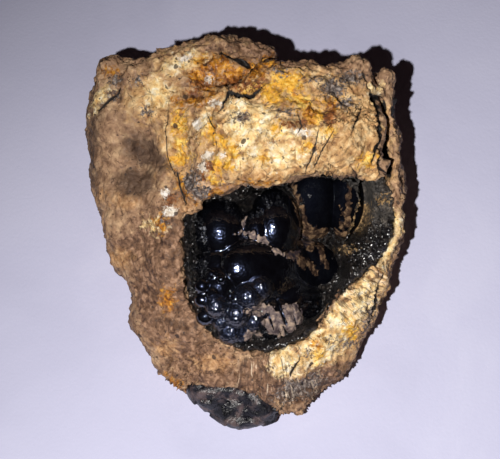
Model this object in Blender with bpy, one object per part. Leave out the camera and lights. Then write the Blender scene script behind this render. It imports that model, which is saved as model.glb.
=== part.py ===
"""A broken limonite geode: an earthy crust, the goethite lining of its cavity, and a goethite nose.

Shapes are set out on the open face of the stone: x to the right, y up the face and z out of it, all in
millimetres. The face leans towards the front, and the stone rests on a flat patch of its underside.
"""

import math

import bmesh
import bpy
import numpy as np
from mathutils import Euler, Vector

MM = 0.001

# The face frame, above the middle of the ground under the stone
FACE_TILT = math.radians(22)
FACE_RIGHT = 0.42
FACE_BACK = -2.93
FACE_HEIGHT = 22.5

# Fits and finish
SEAT_GAP = 0.5
REMESH_SIZE = 0.7
FINE_SIZE = 0.5
CRUST_KEEP = 0.034
LINING_KEEP = 0.042
NOSE_KEEP = 0.12
DIRECTIONS = 60
TOP_RINGS = 9
UNDER_RINGS = 6

# Outline of the body, counter-clockwise from the right, and the height of that edge
BODY_CENTRE = (0.0, 0.0)
BODY_OUTLINE = [
    (30.6, 1.0), (29.9, -4.6), (28.6, -9.4), (26.6, -15.0), (23.6, -19.4), (21.4, -24.5),
    (19.6, -27.8), (16.8, -30.2), (13.4, -32.0), (11.6, -35.2), (10.4, -35.2), (8.6, -34.0),
    (5.4, -36.8), (0.4, -39.2), (-3.4, -38.0), (-8.0, -34.8), (-10.6, -32.4), (-15.0, -29.8),
    (-17.4, -28.0), (-20.2, -22.2), (-22.6, -17.8), (-22.0, -14.0), (-21.8, -10.8),
    (-25.2, -8.2), (-27.0, -5.4), (-27.4, -1.0), (-28.8, 4.6), (-30.5, 8.0), (-31.0, 17.0),
    (-32.0, 22.6), (-31.4, 28.0), (-30.2, 32.0), (-27.8, 36.2), (-22.6, 34.8), (-18.0, 34.6),
    (-10.0, 36.0), (-2.0, 35.6), (6.0, 32.6), (18.0, 31.6), (26.0, 29.0), (28.2, 22.0),
    (29.6, 14.0), (30.4, 7.0),
]
BODY_EDGE = [
    (-32, 20, -7.0), (-27, -3, -5.5), (-22, -15, -5.5), (-15, -30, -5.0), (0, -38, -4.5),
    (12, -35, -3.5), (21, -25, -4.0), (28, -10, -4.0), (31, 3, -4.0), (27, 28, -7.0),
    (10, 33, -7.0), (-6, 36, -6.0), (-22, 34, -3.0), (-30, 32, -6.0),
]
BODY_CROWN = [
    (-26, 31, 2.5), (-24, 25, 4.0), (-18, 30, 5.5), (-19, 16, -0.8), (-26, 14, 1.5),
    (-14, 23, 7.0), (-13, 12, 8.0), (-22, 5, 4.0), (-14, 3, 8.5), (-24, -3, 2.0),
    (-14, -7, 8.0), (-17, -15, 4.0), (-11, -20, 6.0), (-5, -26, 5.0), (-14, -25, 1.0),
    (1, -27, 5.5), (-1, -33, -0.5), (7, -27, 7.0), (10, -24, 8.5), (15, -20, 9.5),
    (20, -14, 9.5), (24, -9, 8.5), (28, -4, 7.0), (29.5, 3, 6.0), (29, 10, 4.0),
    (12, -31, 2.5), (19, -25, 4.0), (-4, 32, 3.0), (5, 26, 6.0), (15, 20, 6.0), (25, 22, 0.0),
    (25, 29, -2.0), (10, 5, 7.0), (5, -8, 7.0),
]
BODY_GROWTH = 0.6
UNDER_DEPTH = 2.6

# The thick roof over the cavity
ROOF_CENTRE = (8.0, 20.5)
ROOF_OUTLINE = [
    (27.4, 20.5), (27.2, 24.8), (26.2, 27.6), (25.0, 29.6), (24.6, 32.0), (23.4, 34.2),
    (21.8, 34.9), (20.2, 34.2), (18.6, 33.2), (14.6, 33.3), (10.6, 33.7), (6.6, 34.0),
    (3.2, 34.0), (1.4, 32.4), (-0.4, 30.2), (-3.4, 28.8), (-7.0, 28.4), (-9.4, 27.0),
    (-10.8, 24.0), (-10.8, 20.0), (-10.6, 15.0), (-9.8, 10.4), (-8.4, 6.6), (-5.6, 6.0),
    (-1.0, 7.4), (3.2, 9.0), (7.6, 10.6), (12.4, 11.5), (17.4, 11.9), (21.4, 12.0),
    (24.0, 11.2), (26.0, 8.9), (27.8, 8.6), (28.0, 12.0), (27.2, 16.0),
]
ROOF_EDGE = [
    (-11, 20, 6.0), (-9, 9, 9.0), (-5, 6, 11.0), (5, 9.5, 12.0), (15, 12, 12.0),
    (24, 11, 10.5), (28, 9, 8.0), (27.5, 20, 7.0), (25, 30, 5.0), (10, 34, 6.5), (0, 30, 6.5),
]
ROOF_CROWN = [
    (-8, 24, 11.0), (-8, 14, 13.0), (-2, 21, 16.0), (0, 13, 17.0), (10, 15, 18.5),
    (10, 21, 19.0), (10, 29, 14.5), (19, 19, 18.0), (19, 29, 12.5), (25, 17, 14.5),
    (24, 26, 11.5), (22, 33, 8.0), (4, 29, 14.0), (25, 11, 12.0),
]
ROOF_UNDER = 2.0

# Ridges: x, y, z of the middle of each section, then its half width and half height
BACK_RIDGE = [
    (-24.0, 31.0, -4.0, 2.5, 5.5), (-19.0, 32.6, -2.5, 3.0, 6.5), (-14.0, 34.4, -2.5, 3.2, 7.0),
    (-9.0, 36.0, -2.0, 3.0, 7.0), (-4.5, 37.0, -2.0, 2.8, 7.0), (0.0, 36.8, -2.5, 2.4, 6.5),
    (4.0, 36.4, -3.0, 1.9, 6.0), (6.2, 36.2, -3.5, 1.2, 5.0),
]
OUTER_LEAF = [
    (28.0, 32.2, -0.5, 2.4, 4.5), (28.0, 29.4, -2.0, 1.6, 6.0), (28.2, 26.0, -3.5, 1.3, 7.5),
    (28.6, 22.4, -4.5, 1.1, 8.0), (29.9, 19.4, -5.0, 2.1, 7.5), (29.9, 16.4, -5.0, 1.4, 7.5),
    (29.9, 13.0, -4.5, 1.4, 8.0), (30.0, 9.0, -4.0, 1.6, 8.5), (29.8, 4.0, -4.0, 1.9, 8.0),
    (29.2, -1.0, -4.0, 2.2, 8.0),
]

# The cavity, at its widest and at its mouth
BOWL_CENTRE = (8.0, -1.0)
BOWL_OUTLINE = [
    (29.5, 4.0), (29.1, 9.0), (26.2, 14.0), (20.0, 17.0), (12.0, 17.5), (4.0, 16.0),
    (-3.0, 13.0), (-9.0, 9.5), (-12.2, 4.4), (-12.0, -2.0), (-11.4, -6.0), (-11.0, -11.0),
    (-9.6, -15.0), (-7.6, -18.0), (-4.6, -20.4), (-1.0, -22.0), (3.4, -22.8), (8.0, -21.8),
    (12.0, -19.8), (14.8, -17.0), (16.8, -13.6), (19.4, -10.2), (23.0, -7.6), (26.4, -4.4),
    (28.7, -1.0),
]
BOWL_WIDEST = 4.0
BOWL_ROOF = 6.5
BOWL_OPEN = 15.0
BOWL_FLOOR = -13.0
MOUTH_OUTLINE = [
    (29.5, 4.0), (28.9, 7.4), (26.4, 8.6), (24.4, 10.8), (21.4, 11.6), (16.6, 11.5),
    (11.0, 11.2), (7.0, 10.2), (3.0, 8.6), (-1.0, 7.2), (-6.0, 5.8), (-9.6, 5.2),
    (-12.2, 3.4), (-12.0, -2.0), (-11.4, -6.0), (-11.0, -11.0), (-9.6, -15.0), (-7.6, -18.0),
    (-4.6, -20.4), (-1.0, -22.0), (3.4, -22.8), (8.0, -21.8), (12.0, -19.8), (14.8, -17.0),
    (16.8, -13.6), (19.4, -10.2), (23.0, -7.6), (26.4, -4.4), (28.4, -1.0),
]
MOUTH_TOP = 30.0

# The hollow that is left inside the lining: its floor, and its sloping right and lower sides
HOLLOW_CENTRE = (6.0, -2.0)
HOLLOW_OUTLINE = [
    (23.6, 7.0), (23.0, 12.0), (18.0, 14.6), (10.0, 14.8), (2.0, 12.6), (-5.0, 9.0),
    (-9.0, 5.4), (-10.6, 0.0), (-9.8, -6.0), (-9.0, -11.0), (-7.4, -14.4), (-5.0, -17.2),
    (-1.4, -18.8), (3.0, -19.4), (7.0, -18.2), (10.4, -15.8), (13.0, -12.6), (15.4, -8.8),
    (18.4, -4.0), (21.4, 0.6),
]
HOLLOW_WIDEST = -2.0
HOLLOW_ROOF = 4.6
HOLLOW_FLOOR = -8.5
MOUTH_INSET = 1.2
MOUTH_RIM = 9.5

# Domes of the lining: x, y, z, then the half sizes across, up and out, and the turn in degrees
DOMES = [
    (2.4, -9.4, 0.0, 13.6, 8.6, 7.4, -20), (-5.0, -9.2, 2.6, 4.6, 4.6, 5.0, 0),
    (-5.2, 3.2, 1.2, 4.8, 4.9, 4.8, 0), (4.6, 3.2, -0.4, 6.6, 7.6, 6.6, 0),
    (1.0, 1.2, 2.4, 3.0, 3.0, 3.2, 0), (14.4, 6.0, -5.0, 5.4, 7.2, 5.0, 8),
    (21.0, 7.0, -6.0, 4.2, 7.0, 4.6, 0), (0.6, -11.8, 5.0, 2.9, 2.9, 3.0, 0),
    (3.2, -10.6, 4.6, 2.9, 2.9, 3.0, 0), (-1.6, -15.2, 4.4, 2.7, 2.7, 3.0, 0),
    (-2.8, -18.8, 2.8, 3.9, 2.9, 3.2, 0), (-5.6, -14.2, 4.6, 2.5, 2.5, 2.7, 0),
    (-8.2, -12.6, 5.2, 2.2, 2.2, 2.4, 0), (-8.4, -9.4, 5.4, 1.9, 1.9, 2.2, 0),
    (8.0, -14.6, 0.6, 6.4, 4.8, 4.4, -25), (13.6, -6.8, -4.6, 6.0, 5.0, 4.0, -35),
]

# The nose, a patch of goethite at the lower tip
NOSE_CENTRE = (-2.4, -32.8)
NOSE_OUTLINE = [
    (6.8, -34.4), (4.4, -32.2), (1.4, -30.0), (-1.0, -28.8), (-4.0, -28.0), (-7.0, -28.6),
    (-10.0, -29.2), (-11.8, -30.2), (-10.4, -32.8), (-8.2, -34.8), (-5.6, -36.8),
    (-3.4, -38.6), (-0.4, -39.8), (2.4, -39.4), (5.2, -37.8),
]
NOSE_EDGE = -3.0
NOSE_CROWN = 1.0
NOSE_UNDER = -7.0

COLOURS = {
    "limonite_crust": ((0.44, 0.27, 0.12), 0.9),
    "goethite_lining": ((0.012, 0.013, 0.018), 0.2),
    "goethite_nose": ((0.02, 0.02, 0.026), 0.35),
}


def clear_scene():
    for obj in list(bpy.data.objects):
        bpy.data.objects.remove(obj)


def face_frame():
    """The empty that carries the face frame."""
    face = bpy.data.objects.new("face", None)
    face.location = Vector((FACE_RIGHT, FACE_BACK, FACE_HEIGHT)) * MM
    face.rotation_euler = Euler((FACE_TILT, 0, 0))
    bpy.context.collection.objects.link(face)
    return face


def floor_level(y):
    """z on the face frame of the ground under a point at y."""
    return -(FACE_HEIGHT + y * math.sin(FACE_TILT)) / math.cos(FACE_TILT)


def add_mesh(name, points, faces, parent):
    """An object from points in millimetres on the face frame."""
    mesh = bpy.data.meshes.new(name)
    mesh.from_pydata([Vector(p) * MM for p in points], [], faces)
    edit = bmesh.new()
    edit.from_mesh(mesh)
    bmesh.ops.recalc_face_normals(edit, faces=edit.faces)
    edit.to_mesh(mesh)
    edit.free()
    obj = bpy.data.objects.new(name, mesh)
    obj.parent = parent
    bpy.context.collection.objects.link(obj)
    return obj


def helper(obj):
    """Marks an object that only shapes another."""
    obj.hide_render = True
    obj.display_type = "WIRE"
    return obj


def even_ring(outline, centre):
    """The outline as an array of points in even directions around the centre."""
    spokes = np.array(outline, float) - centre
    turns = np.arctan2(spokes[:, 1], spokes[:, 0])
    reach = np.hypot(spokes[:, 0], spokes[:, 1])
    angles = np.linspace(0, 2 * math.pi, DIRECTIONS, endpoint=False)
    radii = np.interp(angles, turns, reach, period=2 * math.pi)
    return np.stack([np.cos(angles), np.sin(angles)], 1) * radii[:, None]


def blended(spots, x, y):
    """Height at x, y, blended from the spots (x, y, height) around it."""
    return sum(h / near(x, y, sx, sy) for sx, sy, h in spots) / sum(
        1 / near(x, y, sx, sy) for sx, sy, _ in spots
    )


def near(x, y, spot_x, spot_y):
    return ((x - spot_x) ** 2 + (y - spot_y) ** 2 + 1.0) ** 1.8


def bridge(rings, low_pole, high_pole):
    """Points and faces of a closed skin over rings of equal size, with a point at each end."""
    count = len(rings[0])
    points = [p for ring in rings for p in ring] + [low_pole, high_pole]
    low, high, last = len(points) - 2, len(points) - 1, (len(rings) - 1) * count
    faces = []
    for i in range(count):
        j = (i + 1) % count
        for k in range(0, last, count):
            faces += [(k + i, k + j, k + count + j), (k + i, k + count + j, k + count + i)]
        faces += [(low, j, i), (high, last + i, last + j)]
    return points, faces


def lump(name, parent, outline, centre, edge, crown, under, boxy=(3.0, 3.0), grow=0.0):
    """A rounded lump. edge, crown and under give the height at x, y of its rim, top and underside.

    boxy holds the exponents of the super-ellipse over and under the rim: 2 is round, 4 nearly square.
    """
    spokes = even_ring(outline, centre)
    spokes *= 1 + grow / np.linalg.norm(spokes, axis=1, keepdims=True)
    steps = [(-k / UNDER_RINGS) for k in range(UNDER_RINGS - 1, 0, -1)]
    steps += [k / TOP_RINGS for k in range(TOP_RINGS)]
    rings = []
    for step in steps:
        angle = abs(step) * math.pi / 2
        power = 2 / (boxy[0] if step > 0 else boxy[1])
        share, rise = math.cos(angle) ** power, math.sin(angle) ** power
        ring = []
        for spoke in spokes:
            x, y = spoke * share + centre
            rim_x, rim_y = spoke + centre
            rim = edge(rim_x, rim_y)
            far = crown(x, y) + grow if step > 0 else under(x, y) - grow
            ring.append((x, y, rim + (far - rim) * rise))
        rings.append(ring)
    x, y = centre
    low_pole, high_pole = (x, y, under(x, y) - grow), (x, y, crown(x, y) + grow)
    return add_mesh(name, *bridge(rings, low_pole, high_pole), parent)


def ridge(name, parent, sections, sides=20):
    """A rounded wall swept through sections of x, y, z, half width and half height."""
    path = np.array(sections, float)
    along = np.gradient(path[:, :2], axis=0)
    along /= np.linalg.norm(along, axis=1, keepdims=True)
    rings = []
    for (x, y, z, wide, high), (along_x, along_y) in zip(path, along):
        ring = []
        for k in range(sides):
            angle = 2 * math.pi * k / sides
            out = wide * math.cos(angle)
            ring.append((x - along_y * out, y + along_x * out, z + high * math.sin(angle)))
        rings.append(ring)
    start, end = path[0], path[-1]
    low_pole = (*(start[:2] - along[0] * start[3] * 0.7), start[2])
    high_pole = (*(end[:2] + along[-1] * end[3] * 0.7), end[2])
    return add_mesh(name, *bridge(rings, low_pole, high_pole), parent)


def funnel(name, parent, centre, low_outline, low, high_outline, high, inset=0.0):
    """A straight loft from one outline at height low to another at height high."""
    rings = []
    levels = [(low_outline, low), (high_outline, high), (high_outline, MOUTH_TOP)]
    for outline, z in levels:
        spokes = even_ring(outline, centre)
        spokes *= 1 - inset / np.linalg.norm(spokes, axis=1, keepdims=True)
        rings.append([(*(spoke + centre), z) for spoke in spokes])
    return add_mesh(name, *bridge(rings, (*centre, low), (*centre, MOUTH_TOP)), parent)


def ellipsoids(name, parent, shapes):
    """Ellipsoids of x, y, z, three half sizes and a turn about z, joined in one mesh."""
    edit = bmesh.new()
    for x, y, z, across, up, out, turn in shapes:
        made = bmesh.ops.create_icosphere(edit, subdivisions=4, radius=MM)["verts"]
        turned = Euler((0, 0, math.radians(turn))).to_matrix()
        for vert in made:
            scaled = Vector((vert.co.x * across, vert.co.y * up, vert.co.z * out))
            vert.co = turned @ scaled + Vector((x, y, z)) * MM
    mesh = bpy.data.meshes.new(name)
    edit.to_mesh(mesh)
    edit.free()
    obj = bpy.data.objects.new(name, mesh)
    obj.parent = parent
    bpy.context.collection.objects.link(obj)
    return obj


def block(name, low, high):
    """An upright box between two corners, in millimetres above the ground."""
    edit = bmesh.new()
    for vert in bmesh.ops.create_cube(edit, size=1)["verts"]:
        vert.co = [(a if c < 0 else b) * MM for a, b, c in zip(low, high, vert.co)]
    mesh = bpy.data.meshes.new(name)
    edit.to_mesh(mesh)
    edit.free()
    obj = bpy.data.objects.new(name, mesh)
    bpy.context.collection.objects.link(obj)
    return obj


def boolean(obj, operation, other):
    modifier = obj.modifiers.new(f"{operation.lower()}_{other.name}", "BOOLEAN")
    modifier.operation = operation
    modifier.object = other


def remesh(obj, size):
    modifier = obj.modifiers.new("even_skin", "REMESH")
    modifier.mode = "VOXEL"
    modifier.voxel_size = size * MM


def soften(obj, factor, repeats):
    modifier = obj.modifiers.new("soften", "SMOOTH")
    modifier.factor = factor
    modifier.iterations = repeats


def weather(obj, kind, grain, depth):
    """Pushes the skin in and out with a procedural texture of that grain and depth, in millimetres."""
    texture = bpy.data.textures.new(f"{obj.name}_{kind.lower()}_{grain}", kind)
    texture.noise_scale = grain * MM
    if kind == "CLOUDS":
        texture.noise_depth = 3
    modifier = obj.modifiers.new(f"weather_{grain}", "DISPLACE")
    modifier.texture = texture
    modifier.texture_coords = "LOCAL"
    modifier.strength = depth * MM
    modifier.mid_level = 0.5


def decimate(obj, keep):
    modifier = obj.modifiers.new("fewer_facets", "DECIMATE")
    modifier.ratio = keep


def dress(obj):
    """Gives a node its own material."""
    colour, roughness = COLOURS[obj.name]
    material = bpy.data.materials.new(obj.name)
    material.use_nodes = True
    shader = material.node_tree.nodes["Principled BSDF"]
    shader.inputs["Base Color"].default_value = (*colour, 1)
    shader.inputs["Roughness"].default_value = roughness
    obj.data.materials.append(material)


def flat(height):
    return lambda x, y: height


def bowl(name, parent, grow):
    """The space that the lining fills, low under the roof and open elsewhere."""

    def top(x, y):
        lip = np.interp(x, [-12, -6, -1, 3, 7, 11, 22, 26], [4, 5.5, 7, 8.4, 10, 11, 11.4, 8])
        return BOWL_ROOF + (BOWL_OPEN - BOWL_ROOF) * min(max((lip - y) / 3, 0), 1)

    shape = (flat(BOWL_WIDEST), top, flat(BOWL_FLOOR))
    return lump(name, parent, BOWL_OUTLINE, BOWL_CENTRE, *shape, (2.4, 2.4), grow)


def nose_patch(name, parent, grow):
    shape = (flat(NOSE_EDGE), flat(NOSE_CROWN), flat(NOSE_UNDER))
    return lump(name, parent, NOSE_OUTLINE, NOSE_CENTRE, *shape, (2.4, 2.4), grow)


def rock(name, parent):
    """The whole stone before it is opened: body, roof, back ridge and outer leaf, weathered."""
    body = lump(
        name,
        parent,
        BODY_OUTLINE,
        BODY_CENTRE,
        lambda x, y: blended(BODY_EDGE, x, y),
        lambda x, y: blended(BODY_CROWN, x, y),
        lambda x, y: floor_level(y) - UNDER_DEPTH,
        (3.0, 2.5),
        BODY_GROWTH,
    )
    roof = lump(
        f"{name}_roof",
        parent,
        ROOF_OUTLINE,
        ROOF_CENTRE,
        lambda x, y: blended(ROOF_EDGE, x, y),
        lambda x, y: blended(ROOF_CROWN, x, y),
        flat(ROOF_UNDER),
    )
    back_ridge = ridge(f"{name}_back_ridge", parent, BACK_RIDGE)
    outer_leaf = ridge(f"{name}_outer_leaf", parent, OUTER_LEAF)
    for grown in (roof, back_ridge, outer_leaf):
        boolean(body, "UNION", helper(grown))
    remesh(body, REMESH_SIZE)
    soften(body, 0.5, 2)
    weather(body, "CLOUDS", 7.0, 2.2)
    weather(body, "CLOUDS", 2.5, 1.0)
    remesh(body, REMESH_SIZE)
    return body


def make_crust(face):
    """The shell of the stone, opened by the cavity and the seat of the nose, and flat underneath."""
    crust = rock("limonite_crust", face)
    mouth = funnel(
        "mouth", face, BOWL_CENTRE, MOUTH_OUTLINE, BOWL_WIDEST, MOUTH_OUTLINE, MOUTH_RIM
    )
    for cutter in (bowl("bowl_seat", face, SEAT_GAP), mouth, nose_patch("nose_seat", face, SEAT_GAP)):
        boolean(crust, "DIFFERENCE", helper(cutter))
    remesh(crust, FINE_SIZE)
    decimate(crust, CRUST_KEEP)
    boolean(crust, "DIFFERENCE", helper(block("ground", (-60, -60, -40), (60, 60, 0))))
    return crust


def make_lining(face, stone):
    """The goethite that lines the bowl: a wall around a hollow, with domes that bulge into it."""
    lining = bowl("goethite_lining", face, 0.0)
    shape = (flat(HOLLOW_WIDEST), flat(HOLLOW_ROOF), flat(HOLLOW_FLOOR))
    hollow = lump("hollow", face, HOLLOW_OUTLINE, HOLLOW_CENTRE, *shape, (2.4, 2.4))
    mouth = funnel(
        "hollow_mouth", face, HOLLOW_CENTRE, HOLLOW_OUTLINE, HOLLOW_WIDEST, MOUTH_OUTLINE,
        MOUTH_RIM, MOUTH_INSET,
    )
    domes = ellipsoids("domes", face, DOMES)
    remesh(domes, REMESH_SIZE)
    boolean(hollow, "UNION", helper(mouth))
    boolean(hollow, "DIFFERENCE", helper(domes))
    boolean(lining, "DIFFERENCE", helper(hollow))
    boolean(lining, "INTERSECT", stone)
    remesh(lining, FINE_SIZE)
    decimate(lining, LINING_KEEP)
    return lining


def make_nose(face, stone):
    """The patch of goethite at the lower tip, level with the stone around it."""
    nose = nose_patch("goethite_nose", face, 0.0)
    boolean(nose, "INTERSECT", stone)
    remesh(nose, FINE_SIZE)
    decimate(nose, NOSE_KEEP)
    return nose


def main():
    clear_scene()
    face = face_frame()
    stone = helper(rock("stone", face))
    for node in (make_crust(face), make_lining(face, stone), make_nose(face, stone)):
        dress(node)


main()
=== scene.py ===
import itertools
import math

import bmesh
import bpy
import numpy as np
from mathutils import Euler, Matrix, Vector, noise


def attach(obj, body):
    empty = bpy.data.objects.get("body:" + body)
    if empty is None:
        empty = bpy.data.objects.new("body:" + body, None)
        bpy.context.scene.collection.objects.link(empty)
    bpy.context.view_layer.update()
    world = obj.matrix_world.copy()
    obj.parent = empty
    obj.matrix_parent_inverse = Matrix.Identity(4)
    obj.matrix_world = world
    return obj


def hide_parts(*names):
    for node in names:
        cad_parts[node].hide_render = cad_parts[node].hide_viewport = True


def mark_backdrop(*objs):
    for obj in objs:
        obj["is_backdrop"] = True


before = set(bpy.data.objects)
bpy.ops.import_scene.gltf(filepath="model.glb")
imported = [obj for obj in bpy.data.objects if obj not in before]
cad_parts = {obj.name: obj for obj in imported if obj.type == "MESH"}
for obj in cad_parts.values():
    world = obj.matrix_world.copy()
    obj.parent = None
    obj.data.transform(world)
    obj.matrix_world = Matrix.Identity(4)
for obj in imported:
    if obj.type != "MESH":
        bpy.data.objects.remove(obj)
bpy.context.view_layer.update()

MM = 0.001

# The face frame: x to the right, y up the open face and z out of it, in millimetres
FACE_TILT = math.radians(22)
FACE_ORIGIN = np.array((0.42, -2.93, 22.5))
FACE_AXES = np.array(
    (
        (1.0, 0.0, 0.0),
        (0.0, math.cos(FACE_TILT), math.sin(FACE_TILT)),
        (0.0, -math.sin(FACE_TILT), math.cos(FACE_TILT)),
    )
)

# The camera looks straight at the face from here
EYE = np.array((1.0, 1.1, 300.0))
SENSOR = 36.0
VIEW_WIDTH = 100.0

# Mesh sizes in millimetres
CRUST_SIZE = 0.36
WALL_SIZE = 0.33
DOME_SIZE = 0.22
NOSE_SIZE = 0.3
CRUST_TRIANGLES = 186000

# Domes of the lining: x, y, z, half sizes across, up and out, then lean about x and y, and turn about z
DOMES = [
    (6.4, -8.4, -3.2, 15.0, 8.6, 6.8, 0, 42, -14),
    (-4.4, -6.8, 0.6, 6.2, 5.8, 6.0, 0, 0, 0),
    (-5.3, -10.4, 3.4, 4.6, 4.8, 5.2, 0, 0, 0),
    (-4.9, 1.0, 0.8, 5.6, 6.6, 5.2, -12, 0, 0),
    (2.2, 1.0, 1.4, 3.2, 4.4, 3.9, -8, 0, 0),
    (5.6, 1.8, -1.4, 5.4, 7.8, 6.4, -10, 0, 0),
    (13.6, 6.2, -7.4, 5.6, 8.0, 5.0, 22, 30, 6),
    (20.4, 6.4, -8.0, 4.0, 7.4, 4.6, 22, 20, 4),
    (5.4, -16.2, 0.8, 6.0, 4.8, 4.6, 0, 0, -10),
    (9.8, -13.4, -3.0, 8.4, 5.8, 5.0, 0, 38, -28),
    (13.6, -7.0, -6.4, 7.4, 5.4, 4.6, 0, 38, -28),
]
BEADS = [
    (0.6, -12.0, 6.2, 2.9), (2.9, -10.4, 5.6, 2.6), (-1.6, -15.4, 5.6, 2.9), (-2.9, -18.9, 4.0, 2.9),
    (-0.9, -19.2, 3.8, 2.4), (-8.3, -9.9, 7.2, 1.7), (-8.3, -12.6, 6.8, 1.7), (-6.3, -11.6, 8.0, 1.3),
    (-5.6, -13.8, 7.0, 2.4), (-7.8, -16.0, 5.0, 2.0), (-4.6, -16.8, 5.0, 2.2), (1.8, -17.0, 4.6, 2.2),
    (-1.9, -12.4, 6.8, 1.3), (-6.5, -7.6, 7.4, 1.1), (-4.6, -8.6, 8.2, 1.0),
]
DOME_BLEND = 0.12

# Ovals of the lining that the domes fill: x, y, half width, half height and turn
DOME_GROUND = [
    (4.0, -8.6, 15.0, 9.0, -16), (-4.8, 1.0, 6.4, 7.4, 0), (4.8, 3.4, 7.0, 8.4, 0),
    (13.4, 6.0, 6.0, 8.6, 0), (20.6, 7.0, 4.6, 8.0, 0), (2.0, -16.0, 10.0, 5.4, 0),
    (13.6, -6.0, 6.6, 6.4, -30),
]


def on_face(points):
    """Face millimetres of points in metres in the row frame."""
    return (points / MM - FACE_ORIGIN) @ FACE_AXES.T


def off_face(points):
    """Metres in the row frame of points in face millimetres."""
    return (points @ FACE_AXES + FACE_ORIGIN) * MM


def as_seen(points):
    """Where each point is seen from the camera, as x and y on the face plane."""
    share = EYE[2] / (EYE[2] - points[:, 2:])
    return EYE[:2] + (points[:, :2] - EYE[:2]) * share


def smooth_step(values, low, high):
    share = np.clip((values - low) / (high - low), 0, 1)
    return share * share * (3 - 2 * share)


def noise_at(points, size, octaves=3, salt=0):
    """Smooth noise, about -1 to 1, with lumps of that size."""
    placed = points / size + np.array((3.7, 11.9, 7.3)) * salt
    return np.array([noise.fractal(p, 0.9, 2.0, octaves) for p in placed.tolist()])


def warped(points, size, reach, salt=0):
    """The points pushed about by smooth noise, to bend what is laid out on them."""
    pushes = [noise_at(points, size, 2, salt + k) for k in (1, 2, 3)]
    return points + reach * np.stack(pushes, 1)


def scrambled(cells, salt):
    """A repeatable number from 0 to 1 for each whole-number cell."""
    mixed = (cells @ np.array((73856093, 19349663, 83492791)) + salt * 40503) & 0xFFFFFFFF
    mixed = ((mixed ^ (mixed >> 15)) * 2246822519) & 0xFFFFFFFF
    mixed = ((mixed ^ (mixed >> 13)) * 3266489917) & 0xFFFFFFFF
    return (mixed ^ (mixed >> 16)) / 0xFFFFFFFF


def plates_at(points, size, salt):
    """The plate that each point lies on: its cell, the offset from its heart, and the distance to its edge."""
    placed = points / size
    home = np.floor(placed).astype(np.int64)
    nearest = np.full(len(points), 9.0)
    second = nearest.copy()
    owner = home.copy()
    offset = np.zeros_like(placed)
    for step in itertools.product((-1, 0, 1), repeat=3):
        cell = home + step
        heart = cell + np.stack([scrambled(cell, salt + k) for k in range(3)], 1)
        away = placed - heart
        reach = np.linalg.norm(away, axis=1)
        closer = reach < nearest
        second = np.where(closer, nearest, np.minimum(second, reach))
        nearest = np.where(closer, reach, nearest)
        owner[closer] = cell[closer]
        offset[closer] = away[closer]
    return owner, offset * size, (second - nearest) * size


def plate_heights(points, size, salt, step, tilt):
    """Heights of broken plates, each set up or down by about step and leaning by about tilt."""
    owner, offset, edge = plates_at(points, size, salt)
    level = (scrambled(owner, salt + 5) - 0.5) * 2 * step
    lean = np.stack([scrambled(owner, salt + 6 + k) - 0.5 for k in range(3)], 1) * 2 * tilt
    return level + (offset * lean).sum(1), edge


def patch_reach(seen, patches):
    """Distance inside the nearest oval patch (x, y, half width, half height, turn), negative outside."""
    reach = np.full(len(seen), -9.0)
    for x, y, wide, high, turn in patches:
        cosine, sine = math.cos(math.radians(turn)), math.sin(math.radians(turn))
        right, up = seen[:, 0] - x, seen[:, 1] - y
        share = np.hypot((right * cosine + up * sine) / wide, (up * cosine - right * sine) / high)
        reach = np.maximum(reach, (1 - share) * min(wide, high))
    return reach


def line_distance(seen, path):
    """Distance to a path of points (x, y, half width) and the half width there; the sign tells the side."""
    best = np.full(len(seen), 99.0)
    width = np.zeros(len(seen))
    for (x0, y0, w0), (x1, y1, w1) in zip(path[:-1], path[1:]):
        along = np.array((x1 - x0, y1 - y0))
        length = np.hypot(*along)
        along = along / length
        away = seen - (x0, y0)
        share = np.clip(away @ along / length, 0, 1)
        gap = np.linalg.norm(away - share[:, None] * along * length, axis=1)
        side = np.sign(away[:, 0] * along[1] - away[:, 1] * along[0])
        closer = gap < np.abs(best)
        best = np.where(closer, gap * side, best)
        width = np.where(closer, w0 + (w1 - w0) * share, width)
    return best, width


# Mesh helpers

def new_object(name, mesh):
    obj = bpy.data.objects.new(name, mesh)
    bpy.context.scene.collection.objects.link(obj)
    return obj


def get_points(mesh):
    flat = np.empty(len(mesh.vertices) * 3, np.float32)
    mesh.vertices.foreach_get("co", flat)
    return flat.reshape(-1, 3).astype(float)


def set_points(mesh, points):
    mesh.vertices.foreach_set("co", points.astype(np.float32).ravel())
    mesh.update()


def get_normals(mesh):
    flat = np.empty(len(mesh.vertices) * 3, np.float32)
    mesh.vertex_normals.foreach_get("vector", flat)
    return flat.reshape(-1, 3).astype(float)


def get_edges(mesh):
    flat = np.empty(len(mesh.edges) * 2, np.int32)
    mesh.edges.foreach_get("vertices", flat)
    return flat.reshape(-1, 2)


def spread_out(values, edges, rounds):
    """Values at the vertices, averaged with their neighbours some rounds."""
    count = len(values)
    ends = np.concatenate((edges[:, 0], edges[:, 1]))
    others = np.concatenate((edges[:, 1], edges[:, 0]))
    share = np.maximum(np.bincount(ends, minlength=count), 1)
    columns = values.reshape(count, -1).T
    for _ in range(rounds):
        columns = [np.bincount(ends, column[others], count) / share for column in columns]
    return np.array(columns).T.reshape(values.shape)


def keep_attribute(mesh, name, values):
    """Stores one number per vertex for the materials to read."""
    attribute = mesh.attributes.new(name, "FLOAT", "POINT")
    attribute.data.foreach_set("value", values.astype(np.float32))


def applied(obj):
    """The object with its modifiers made real."""
    graph = bpy.context.evaluated_depsgraph_get()
    mesh = bpy.data.meshes.new_from_object(obj.evaluated_get(graph))
    old = obj.data
    obj.modifiers.clear()
    obj.data = mesh
    bpy.data.meshes.remove(old)
    return obj


def remeshed(obj, size):
    modifier = obj.modifiers.new("even_skin", "REMESH")
    modifier.mode = "VOXEL"
    modifier.voxel_size = size
    return applied(obj)


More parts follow.
